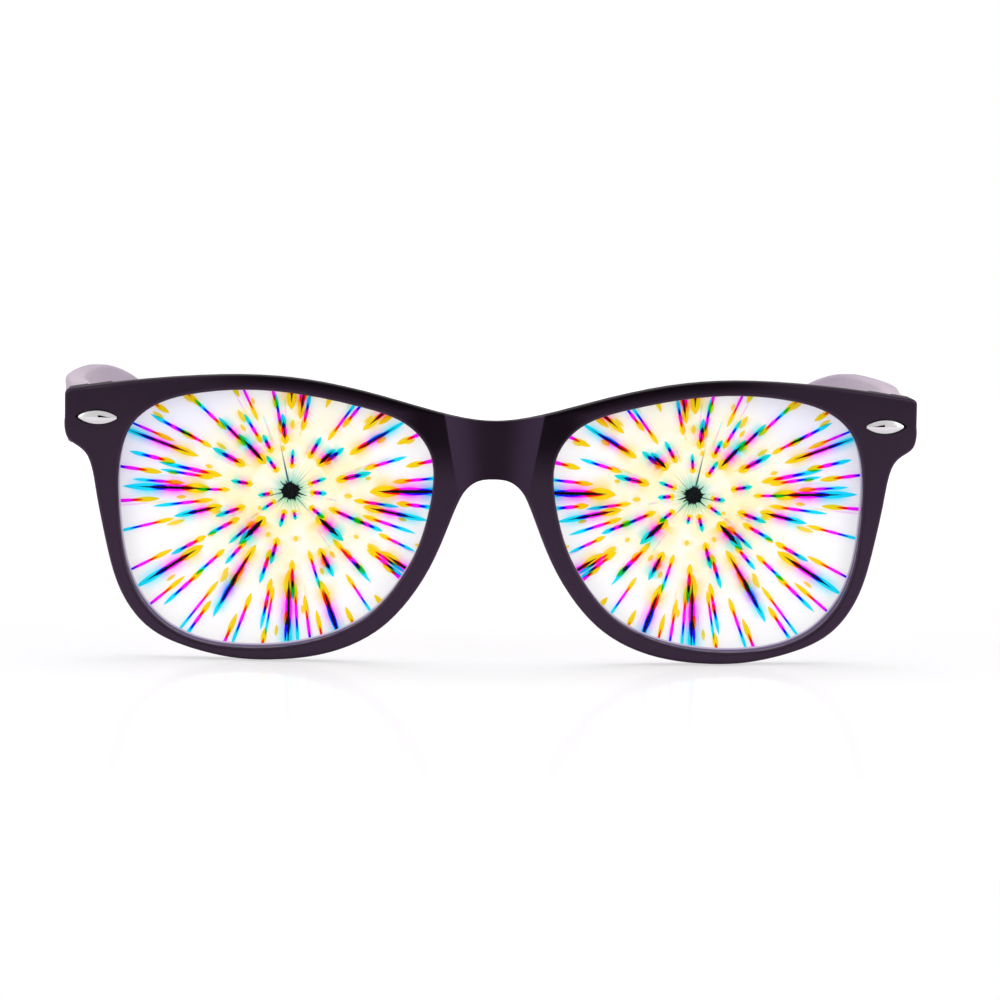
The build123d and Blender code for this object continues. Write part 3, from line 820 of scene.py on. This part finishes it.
def makeFilm():
    look = starburst
    material, tree, shader = newMaterial(
        "gratingFilm", Roughness=look["roughness"], Specular_IOR_Level=look["gloss"],
        Emission_Strength=look["paintedGlowShare"])
    axes = objectAxes(tree)
    scale, (centreX, centreZ) = look["millimetres"], look["centre"]
    across = calc(tree, "MULTIPLY_ADD", calc(tree, "ABSOLUTE", axes[0]), scale, -centreX)
    upward = calc(tree, "MULTIPLY_ADD", axes[2], scale, -centreZ)
    radius, turn = polar(tree, across, upward)
    masks = spectrumMasks(tree, radius, turn)
    # Sheet: cooler towards the outer upper corner, with the yellow glow inside
    corner = calc(tree, "MULTIPLY", calc(tree, "ADD", across, upward), look["cornerLean"])
    cool = remap(tree, corner, look["coolFrom"], look["coolTo"])
    colour = mixColours(tree, cool, look["sheet"], look["coolSheet"])
    plate = addNode(tree, "ShaderNodeCombineXYZ", {"X": across, "Y": upward}).outputs[0]
    patches = noise(tree, plate, glow["patchScale"], glow["patchDetail"])
    patchy = remap(tree, patches, glow["patchFrom"], glow["patchTo"], glow["least"], glow["most"])
    haze = calc(tree, "MULTIPLY", remap(tree, radius, glow["outer"], glow["inner"]), patchy)
    colour = mixColours(tree, haze, colour, glow["colour"])
    for title, part in filters.items():
        filtered = mixColours(tree, 1.0, colour, part["tint"], "MULTIPLY")
        colour = mixColours(tree, masks[title], colour, filtered)
    colour = addStar(tree, colour, plate, radius, turn)
    # Painted highlight and shade of the rim, as seen through the clear edge
    colour = addPaintedRimLight(tree, colour, across, upward)
    # Painted glow: the film's colours are also emitted, so that it shines though it is no lamp
    tree.links.new(colour, shader.inputs["Emission Color"])
    level = (look["diffuseShare"],) * 3 + (1,)
    tree.links.new(mixColours(tree, 1.0, colour, level, "MULTIPLY"), shader.inputs["Base Color"])
    # The sheet lets a little through, except where something dark is drawn on it
    solid = remap(tree, radius, star["haloReach"], star["core"])
    for mask in masks.values():
        solid = calc(tree, "MAXIMUM", solid, mask)
    tree.links.new(remap(tree, solid, 0.0, 1.0, look["sheetAlpha"], 1.0), shader.inputs["Alpha"])
    return material


dress(makeFilm(), "left_grating_film", "right_grating_film")
print("film made")

# Lens: a clear panel in front of the film, with faint wipe marks in its gloss
lensLook = {
    "colour": (0.55, 0.55, 0.60, 1),
    "alpha": 0.008,
    "edgeAlpha": 0.6,
    "edgeBlend": 0.3,
    "edgePower": 3.0,
    "roughness": 0.12,
    "wipeScale": 120,
    "wipeDetail": 5.0,
}


def makeLens():
    look = lensLook
    material, tree, shader = newMaterial("lensClear", Base_Color=look["colour"])
    wipes = noise(tree, objectPoint(tree), look["wipeScale"], look["wipeDetail"])
    tree.links.new(calc(tree, "MULTIPLY", wipes, look["roughness"]), shader.inputs["Roughness"])
    facing = addNode(tree, "ShaderNodeLayerWeight", {"Blend": look["edgeBlend"]}).outputs["Facing"]
    steep = calc(tree, "POWER", facing, look["edgePower"])
    alpha = calc(tree, "MULTIPLY_ADD", steep, look["edgeAlpha"], look["alpha"])
    tree.links.new(alpha, shader.inputs["Alpha"])
    return material


dress(makeLens(), "left_lens", "right_lens")
print("lenses made")

# Floor: a pale disc as white as the backdrop where no shadow falls. The camera sees a faint
# reflection and a faint shadow on it, and the colour that it casts on the glasses is paler
floorLook = {
    "radius": 0.475,
    "centreY": 0.2,
    "depth": 0.0002,
    "segments": 96,
    "colour": (0.60, 0.59, 0.61, 1),
    "seenColour": (0.40, 0.395, 0.405, 1),
    "roughness": 0.6,
    "gloss": 0.08,
    "seenGloss": 0.30,
    "glossRoughness": 0.10,
    "glow": (1.0, 0.99, 1.0, 1),
    "lift": 0.57,
    "farLift": 0.85,
    "farFrom": 0.16,
    "farTo": 0.36,
}


def seenRays(tree):
    # What the camera sees itself or through something clear, and the light path's outputs
    path = addNode(tree, "ShaderNodeLightPath").outputs
    return calc(tree, "MAXIMUM", path["Is Camera Ray"], path["Is Transmission Ray"]), path


def makeFloor():
    look = floorLook
    # Points on a circle, at even angles
    angles = np.linspace(0, 2 * np.pi, look["segments"], endpoint=False)
    points = np.stack([
        look["radius"] * np.cos(angles),
        look["centreY"] + look["radius"] * np.sin(angles),
        np.full_like(angles, -look["depth"]),
    ], axis=1)
    mesh = bpy.data.meshes.new("floor")
    mesh.from_pydata(points.tolist(), [], [list(range(look["segments"]))])
    floor = bpy.data.objects.new("floor", mesh)
    bpy.context.collection.objects.link(floor)
    material, tree, shader = newMaterial(
        "floorSheet", Roughness=look["roughness"], Specular_IOR_Level=0.0)
    seen = seenRays(tree)[0]
    colour = mixColours(tree, seen, look["colour"], look["seenColour"])
    tree.links.new(colour, shader.inputs["Base Color"])
    share = calc(tree, "MULTIPLY_ADD", seen, look["seenGloss"] - look["gloss"], look["gloss"])
    gloss = addNode(tree, "ShaderNodeBsdfGlossy", {"Roughness": look["glossRoughness"]})
    mixed = addNode(tree, "ShaderNodeMixShader", {"Fac": share})
    tree.links.new(shader.outputs[0], mixed.inputs[1])
    tree.links.new(gloss.outputs[0], mixed.inputs[2])
    # The lift grows with the distance from the middle, so that no edge of the floor shows
    away = addNode(tree, "ShaderNodeVectorMath", operation="LENGTH")
    tree.links.new(objectPoint(tree), away.inputs[0])
    strength = remap(tree, away.outputs["Value"], look["farFrom"], look["farTo"],
                     look["lift"], look["farLift"])
    lift = addNode(tree, "ShaderNodeEmission", {
        "Color": look["glow"], "Strength": calc(tree, "MULTIPLY", seen, strength)})
    total = addNode(tree, "ShaderNodeAddShader")
    tree.links.new(mixed.outputs[0], total.inputs[0])
    tree.links.new(lift.outputs[0], total.inputs[1])
    tree.links.new(total.outputs[0], tree.nodes["Material Output"].inputs["Surface"])
    mesh.materials.append(material)


makeFloor()

# World: white to the camera and to clear things; it lights softly, and gloss sees a white tent
# with a dark side where the camera stands, dimmer overhead and at the back
worldLook = {
    "fill": (0.70, 0.70, 0.70, 1),
    "seenColour": (1, 1, 1, 1),
    "tentFrom": -0.95,
    "tentTo": 0.3,
    "tentDark": 0.02,
    "tentBright": 1.0,
    "backFrom": 0.45,
    "backTo": 0.95,
    "backLevel": 0.25,
    "topFrom": 0.3,
    "topTo": 0.8,
    "topLevel": 0.3,
}


def makeWorld():
    look = worldLook
    world = bpy.data.worlds.new("studio")
    world.use_nodes = True
    bpy.context.scene.world = world
    tree = world.node_tree
    seen, path = seenRays(tree)
    direction = addNode(tree, "ShaderNodeTexCoord").outputs["Generated"]
    axes = addNode(tree, "ShaderNodeSeparateXYZ", {"Vector": direction}).outputs
    walls = remap(tree, axes[1], look["tentFrom"], look["tentTo"],
                  look["tentDark"], look["tentBright"])
    back = remap(tree, axes[1], look["backFrom"], look["backTo"], 1.0, look["backLevel"])
    top = remap(tree, axes[2], look["topFrom"], look["topTo"], 1.0, look["topLevel"])
    tent = calc(tree, "MULTIPLY", walls, calc(tree, "MULTIPLY", back, top))
    glossy = mixColours(tree, path["Is Glossy Ray"], look["fill"], tent)
    colour = mixColours(tree, seen, glossy, look["seenColour"])
    tree.links.new(colour, tree.nodes["Background"].inputs["Color"])


makeWorld()

# Lamps: one wide panel overhead, a little behind, and a weak one at each side in front
lamps = [
    {"name": "overheadPanel", "place": (0.0, 0.15, 0.75), "aim": (0, 0, 0.02),
     "size": (0.9, 0.6), "power": 5.0, "glossy": False},
    {"name": "leftPanel", "place": (-0.75, -0.55, 0.4), "aim": (0, -0.05, 0.02),
     "size": (0.4, 0.6), "power": 2.0, "glossy": True},
    {"name": "rightPanel", "place": (0.75, -0.55, 0.4), "aim": (0, -0.05, 0.02),
     "size": (0.4, 0.6), "power": 2.0, "glossy": True},
]


def makeLamps():
    for lamp in lamps:
        data = bpy.data.lights.new(lamp["name"], "AREA")
        data.shape = "RECTANGLE"
        data.size, data.size_y = lamp["size"]
        data.energy = lamp["power"]
        light = bpy.data.objects.new(lamp["name"], data)
        bpy.context.collection.objects.link(light)
        light.location = lamp["place"]
        away = Vector(lamp["place"]) - Vector(lamp["aim"])
        light.rotation_euler = away.to_track_quat("Z", "Y").to_euler()
        light.visible_glossy = lamp["glossy"]


makeLamps()
print("studio made")
